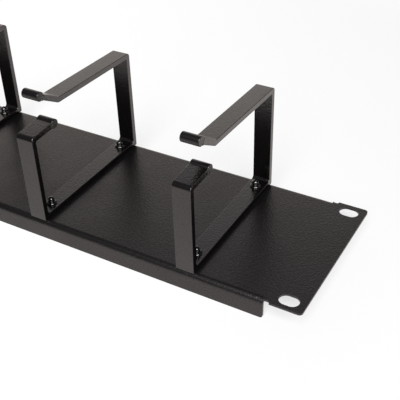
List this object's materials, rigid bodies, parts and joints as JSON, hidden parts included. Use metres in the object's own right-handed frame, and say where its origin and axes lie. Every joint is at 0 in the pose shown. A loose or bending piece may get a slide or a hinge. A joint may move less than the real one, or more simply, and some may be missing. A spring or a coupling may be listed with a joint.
{
  "type": "rack cable lacing bar",
  "caption": "Rack panel with folded long edges and slotted ears, carrying riveted open flat bar cable rings whose ends are capped by round rods.",
  "frame": {"origin": "centre of the four rack slots, on the rear face of the ears", "axes": "+X along the panel, +Y across it towards the rings' long legs, +Z out of its face towards the rings"},
  "size_m": [0.4826, 0.0882, 0.0825],
  "materials": {
    "panel_coat": "black fine textured powder coat on steel sheet",
    "ring_coat": "black fine textured powder coat on steel flat bar",
    "rod_coat": "black smoother powder coat on steel rod",
    "rivet_black": "gloss black"
  },
  "bodies": {
    "root": {"panel": "panel_coat", "ring_1": "ring_coat", "ring_2": "ring_coat", "ring_3": "ring_coat", "ring_4": "ring_coat", "ring_5": "ring_coat", "front_rod_1": "rod_coat", "front_rod_2": "rod_coat", "front_rod_3": "rod_coat", "front_rod_4": "rod_coat", "front_rod_5": "rod_coat", "rear_rod_1": "rod_coat", "rear_rod_2": "rod_coat", "rear_rod_3": "rod_coat", "rear_rod_4": "rod_coat", "rear_rod_5": "rod_coat", "front_rivet_1": "rivet_black", "front_rivet_2": "rivet_black", "front_rivet_3": "rivet_black", "front_rivet_4": "rivet_black", "front_rivet_5": "rivet_black", "rear_rivet_1": "rivet_black", "rear_rivet_2": "rivet_black", "rear_rivet_3": "rivet_black", "rear_rivet_4": "rivet_black", "rear_rivet_5": "rivet_black"}
  },
  "joints": []
}
